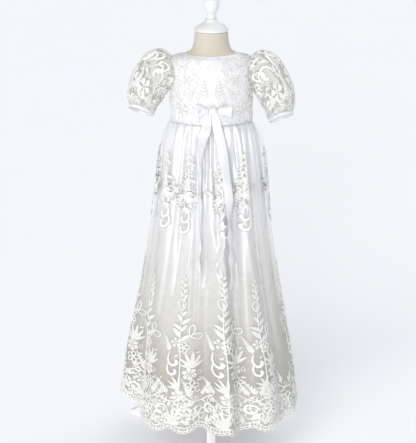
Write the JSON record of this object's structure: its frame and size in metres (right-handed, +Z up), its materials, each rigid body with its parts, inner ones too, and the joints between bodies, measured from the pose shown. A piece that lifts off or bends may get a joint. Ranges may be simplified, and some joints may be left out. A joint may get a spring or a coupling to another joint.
{
  "type": "christening gown on a dress form",
  "caption": "Long white christening gown with puff sleeves, satin bow, gathered skirt and corded lace, on a limbless child's dress form with a tripod stand.",
  "frame": {"origin": "on the floor, under the middle of the whole part", "axes": "+Z up along the pole, -Y towards the front of the gown, +X towards the sleeve on the viewer's right"},
  "size_m": [0.451, 0.423, 1.082],
  "materials": {
    "satin": "white satin with a soft sheen",
    "tulle": "sheer fine net",
    "lace": "matt corded lace",
    "linen": "plain woven natural linen",
    "painted_wood": "white satin paint"
  },
  "bodies": {
    "root": {"form_body": "linen", "neck_cap": "painted_wood", "finial": "painted_wood", "pole": "painted_wood", "hub": "painted_wood", "leg_1": "painted_wood", "leg_2": "painted_wood", "leg_3": "painted_wood", "bodice_front": "satin", "bodice_back_left": "satin", "bodice_back_right": "satin", "cuff_left": "satin", "cuff_right": "satin", "underskirt_front": "satin", "underskirt_back": "satin", "bow_knot": "satin", "bow_loop_left": "satin", "bow_loop_right": "satin", "bow_tail_left": "satin", "bow_tail_right": "satin", "sleeve_left": "tulle", "sleeve_right": "tulle", "overskirt_front": "tulle", "overskirt_back": "tulle", "lace_border_front": "lace", "lace_border_back": "lace", "lace_spray_front_1": "lace", "lace_spray_front_2": "lace", "lace_spray_front_3": "lace", "lace_spray_front_4": "lace", "lace_spray_front_5": "lace", "lace_spray_back_1": "lace", "lace_spray_back_2": "lace", "lace_spray_back_3": "lace", "lace_spray_back_4": "lace", "lace_spray_back_5": "lace", "lace_bodice_front_left": "lace", "lace_bodice_front_right": "lace", "lace_bodice_back_left": "lace", "lace_bodice_back_right": "lace", "lace_sleeve_left_front": "lace", "lace_sleeve_left_back": "lace", "lace_sleeve_right_front": "lace", "lace_sleeve_right_back": "lace"}
  },
  "joints": []
}
